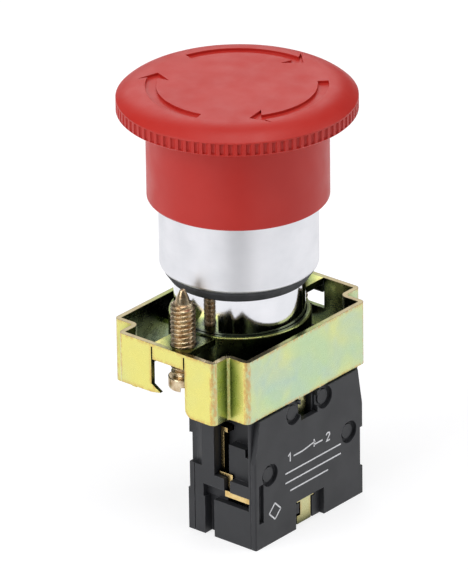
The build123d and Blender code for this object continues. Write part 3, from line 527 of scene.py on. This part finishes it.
# The printed marks on the block's front: lines of ink, with a closed contact between terminals 1 and 2.
# The print is drawn in millimetres from the cover's lower middle. Only the ink's thickness is in metres.
INK_T = 0.02 * MM
INK_SINK = 0.01 * MM
STROKE = 0.26
DIGIT_ONE = [(0, 1.1), (0.5, 1.5), (0.5, 0)]
DIGIT_TWO = [(0, 1.15), (0.15, 1.42), (0.5, 1.5), (0.85, 1.38), (0.9, 1.05), (0.05, 0.05), (0.95, 0.05)]
SYMBOL_Z = 13.2
ONE_X, TWO_X = -5.6, 4.4
LEAD = 0.7  # the contact symbol's leads, above SYMBOL_Z
HINGE_X, STOP_X = -1.9, 1.2
FIRST_BAR_DROP, BAR_PITCH = 1.9, 1.75
BARS = ((-6.4, 8.2), (-6.4, 8.2), (-5.2, 4.8))
DIAMOND_X, DIAMOND_Z, DIAMOND_R = -9.2, 5.6, 1.5


def ribbon(shape, points, to_world):
    """A raised line of ink through the points of the print's own plane."""
    path = [Vector((*p, 0)) for p in points]
    sides = []
    for index, point in enumerate(path):
        before = (point - path[index - 1]).normalized() if index else None
        after = (path[index + 1] - point).normalized() if index + 1 < len(path) else None
        along = ((before or after) + (after or before)).normalized()
        across = Vector((-along.y, along.x, 0))
        lean = across.dot(Vector((-(after or before).y, (after or before).x, 0)))
        reach = across * STROKE / 2 / max(0.5, lean)
        sides.append((point - reach, point + reach))
    levels = (-INK_SINK, INK_T)
    corners = [[[shape.verts.new(to_world(p + UP * z)) for p in pair] for z in levels] for pair in sides]
    for (low_a, high_a), (low_b, high_b) in zip(corners, corners[1:]):
        shape.faces.new((high_a[0], high_b[0], high_b[1], high_a[1]))
        shape.faces.new((low_a[1], low_b[1], low_b[0], low_a[0]))
        shape.faces.new((low_a[0], low_b[0], high_b[0], high_a[0]))
        shape.faces.new((high_a[1], high_b[1], low_b[1], low_a[1]))
    for low, high in (corners[0], corners[-1]):
        shape.faces.new((low[0], high[0], high[1], low[1]))


def contact_strokes():
    """A normally closed contact between the digits 1 and 2."""
    z = SYMBOL_Z
    return [
        [(ONE_X + dx, z + dz) for dx, dz in DIGIT_ONE],
        [(-4.2, z + LEAD), (HINGE_X, z + LEAD)],
        [(HINGE_X, z + LEAD), (1.5, z + 1.2)],
        [(STOP_X, z + 0.3), (STOP_X, z + 1.7)],
        [(STOP_X, z + LEAD), (3.4, z + LEAD)],
        [(TWO_X + dx, z + dz) for dx, dz in DIGIT_TWO],
    ]


def bar_strokes():
    """Three bars that stand for lines of print."""
    strokes = []
    for row, (start, end) in enumerate(BARS):
        at = SYMBOL_Z - FIRST_BAR_DROP - BAR_PITCH * row
        strokes.append([(start, at), (end, at)])
    return strokes


def diamond_strokes():
    ways = ((1, 0), (0, 1), (-1, 0), (0, -1), (1, 0))
    corners = [(DIAMOND_X + DIAMOND_R * dx, DIAMOND_Z + DIAMOND_R * dz) for dx, dz in ways]
    return [[a, b] for a, b in zip(corners, corners[1:])]


def print_marks(looks):
    low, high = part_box("block_front_cover")
    middle = (low.x + high.x) / 2

    def to_world(p):
        return Vector((middle + p.x * MM, low.y - p.z, low.z + p.y * MM))

    shape = bmesh.new()
    for points in contact_strokes() + bar_strokes() + diamond_strokes():
        ribbon(shape, points, to_world)
    bmesh.ops.recalc_face_normals(shape, faces=shape.faces)
    add_piece("front_print", shape, looks["ink"], "root")


# ---------------------------------------------------------------- stage, light and camera

CAMERA_AZIMUTH = math.radians(-49.98)
CAMERA_ELEVATION = math.radians(24.98)
CAMERA_ROLL = math.radians(-0.77)
CAMERA_DISTANCE = 1.2
CAMERA_LENS = 457.3
FRAMING = (-0.897 * MM, -2.125 * MM)

FLOOR_SIZE = 12.0
CARD_LENGTH, CARD_WIDTH = 0.15, 0.08
CARD_AWAY = 0.185
CARD_ABOVE_FLOOR = 1 * MM
MATT = 0.9


def axes(azimuth, elevation):
    """The right, up and backward directions of a camera there. Azimuth 0 looks along +Y."""
    right = Vector((math.cos(azimuth), math.sin(azimuth), 0))
    level = math.cos(elevation)
    back = Vector((math.sin(azimuth) * level, -math.cos(azimuth) * level, math.sin(elevation)))
    return right, back.cross(right), back


def add_camera():
    right, up, back = axes(CAMERA_AZIMUTH, CAMERA_ELEVATION)
    across = math.cos(CAMERA_ROLL) * right + math.sin(CAMERA_ROLL) * up
    upward = math.cos(CAMERA_ROLL) * up - math.sin(CAMERA_ROLL) * right
    camera = bpy.data.objects.new("camera", bpy.data.cameras.new("camera"))
    camera.data.lens = CAMERA_LENS
    camera.data.clip_start = 0.05
    place = CAMERA_DISTANCE * back + FRAMING[0] * across + FRAMING[1] * upward
    turn = Matrix((across, upward, back)).transposed().to_4x4()
    camera.matrix_world = Matrix.Translation(place) @ turn
    bpy.context.scene.collection.objects.link(camera)
    bpy.context.scene.camera = camera


def soft_light(name, azimuth, elevation, distance, size, power):
    """A square soft box that faces the object from that direction, in degrees."""
    light = bpy.data.lights.new(name, "AREA")
    light.size = size
    light.energy = power
    lamp = bpy.data.objects.new(name, light)
    right, up, back = axes(math.radians(azimuth), math.radians(elevation))
    turn = Matrix((right, up, back)).transposed().to_4x4()
    lamp.matrix_world = Matrix.Translation(back * distance) @ turn
    bpy.context.scene.collection.objects.link(lamp)


def sheet(name, length, width, place, turn):
    """A flat sheet for the stage, with a plain matt paint, and that paint's shader."""
    shape = bmesh.new()
    bmesh.ops.create_grid(shape, x_segments=1, y_segments=1, size=0.5)
    bmesh.ops.scale(shape, vec=(width, length, 1), verts=shape.verts)
    mesh = bpy.data.meshes.new(name)
    shape.to_mesh(mesh)
    shape.free()
    paint = bpy.data.materials.new(name + "_paint")
    paint.use_nodes = True
    mesh.materials.append(paint)
    flat = bpy.data.objects.new(name, mesh)
    flat.matrix_world = Matrix.Translation(place) @ Matrix.Rotation(turn, 4, "Z")
    bpy.context.scene.collection.objects.link(flat)
    return flat, paint.node_tree.nodes["Principled BSDF"]


def add_card():
    """A grey card just above the floor, towards the camera and hidden from it, for the chrome to reflect."""
    toward_camera = axes(CAMERA_AZIMUTH, 0)[2]
    place = toward_camera * CARD_AWAY + UP * (cad_box[0].z + CARD_ABOVE_FLOOR)
    card, shader = sheet("grey_card", CARD_LENGTH, CARD_WIDTH, place, CAMERA_AZIMUTH)
    shader.inputs["Base Color"].default_value = (0.10, 0.10, 0.10, 1)
    shader.inputs["Roughness"].default_value = MATT
    card.visible_camera = False


def add_stage():
    """A pale, softly glowing floor under the block, and a plain, dim world."""
    floor, shader = sheet("floor", FLOOR_SIZE, FLOOR_SIZE, UP * cad_box[0].z, 0)
    shader.inputs["Base Color"].default_value = (0.38, 0.38, 0.39, 1)
    shader.inputs["Roughness"].default_value = MATT
    shader.inputs["Emission Color"].default_value = (1, 1, 1, 1)
    shader.inputs["Emission Strength"].default_value = 0.7
    world = bpy.data.worlds.new("studio")
    world.use_nodes = True
    sky = world.node_tree.nodes["Background"]
    sky.inputs["Color"].default_value = (0.9, 0.95, 1.0, 1)
    sky.inputs["Strength"].default_value = 0.13
    bpy.context.scene.world = world


def add_lights():
    soft_light("key", -105, 35, 0.9, 0.6, 4.2)
    soft_light("fill", 40, 32, 1.0, 0.6, 2.2)
    soft_light("top", -30, 80, 0.9, 0.6, 3.8)
    soft_light("rim", 138, 32, 1.0, 0.7, 2.3)


looks = finishes()
dress_nodes(looks)
clamp_screw("left", looks)
clamp_screw("right", looks)
print_marks(looks)
add_stage()
add_card()
add_lights()
add_camera()
bpy.context.scene.view_settings.view_transform = "Standard"
